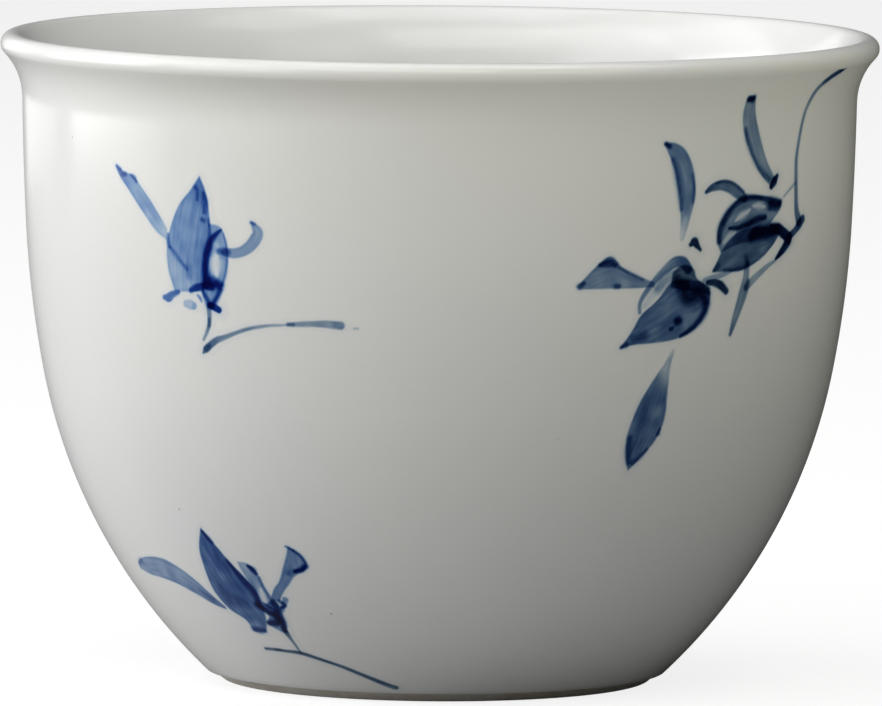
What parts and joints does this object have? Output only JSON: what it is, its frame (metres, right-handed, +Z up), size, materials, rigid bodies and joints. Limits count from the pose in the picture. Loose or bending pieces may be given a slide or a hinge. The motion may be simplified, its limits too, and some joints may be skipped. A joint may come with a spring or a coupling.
{
  "type": "handleless teacup",
  "caption": "Small round handleless porcelain teacup with a flared rim, a narrow foot ring and blue brush-painted orchid blossoms.",
  "frame": {"origin": "centre of the foot ring, on the surface that the cup stands on", "axes": "+Z up along the cup's turning axis, front with the painted blossoms towards -Y, +X to the viewer's right"},
  "size_m": [0.0764, 0.0764, 0.0563],
  "materials": {
    "bare_porcelain": "matt unglazed",
    "clear_glaze": "satin gloss",
    "cobalt_brushwork": "satin gloss"
  },
  "bodies": {
    "root": {"porcelain_body": "bare_porcelain", "glaze_coat": "clear_glaze", "foot_recess_glaze": "clear_glaze", "upper_left_blossom": "cobalt_brushwork", "upper_left_stem": "cobalt_brushwork", "lower_left_blossom": "cobalt_brushwork", "lower_left_stem": "cobalt_brushwork", "right_near_blossom": "cobalt_brushwork", "right_far_blossom": "cobalt_brushwork", "right_rim_stem": "cobalt_brushwork", "back_upper_blossom": "cobalt_brushwork", "back_upper_stem": "cobalt_brushwork", "back_lower_blossom": "cobalt_brushwork", "back_lower_stem": "cobalt_brushwork"}
  },
  "joints": []
}
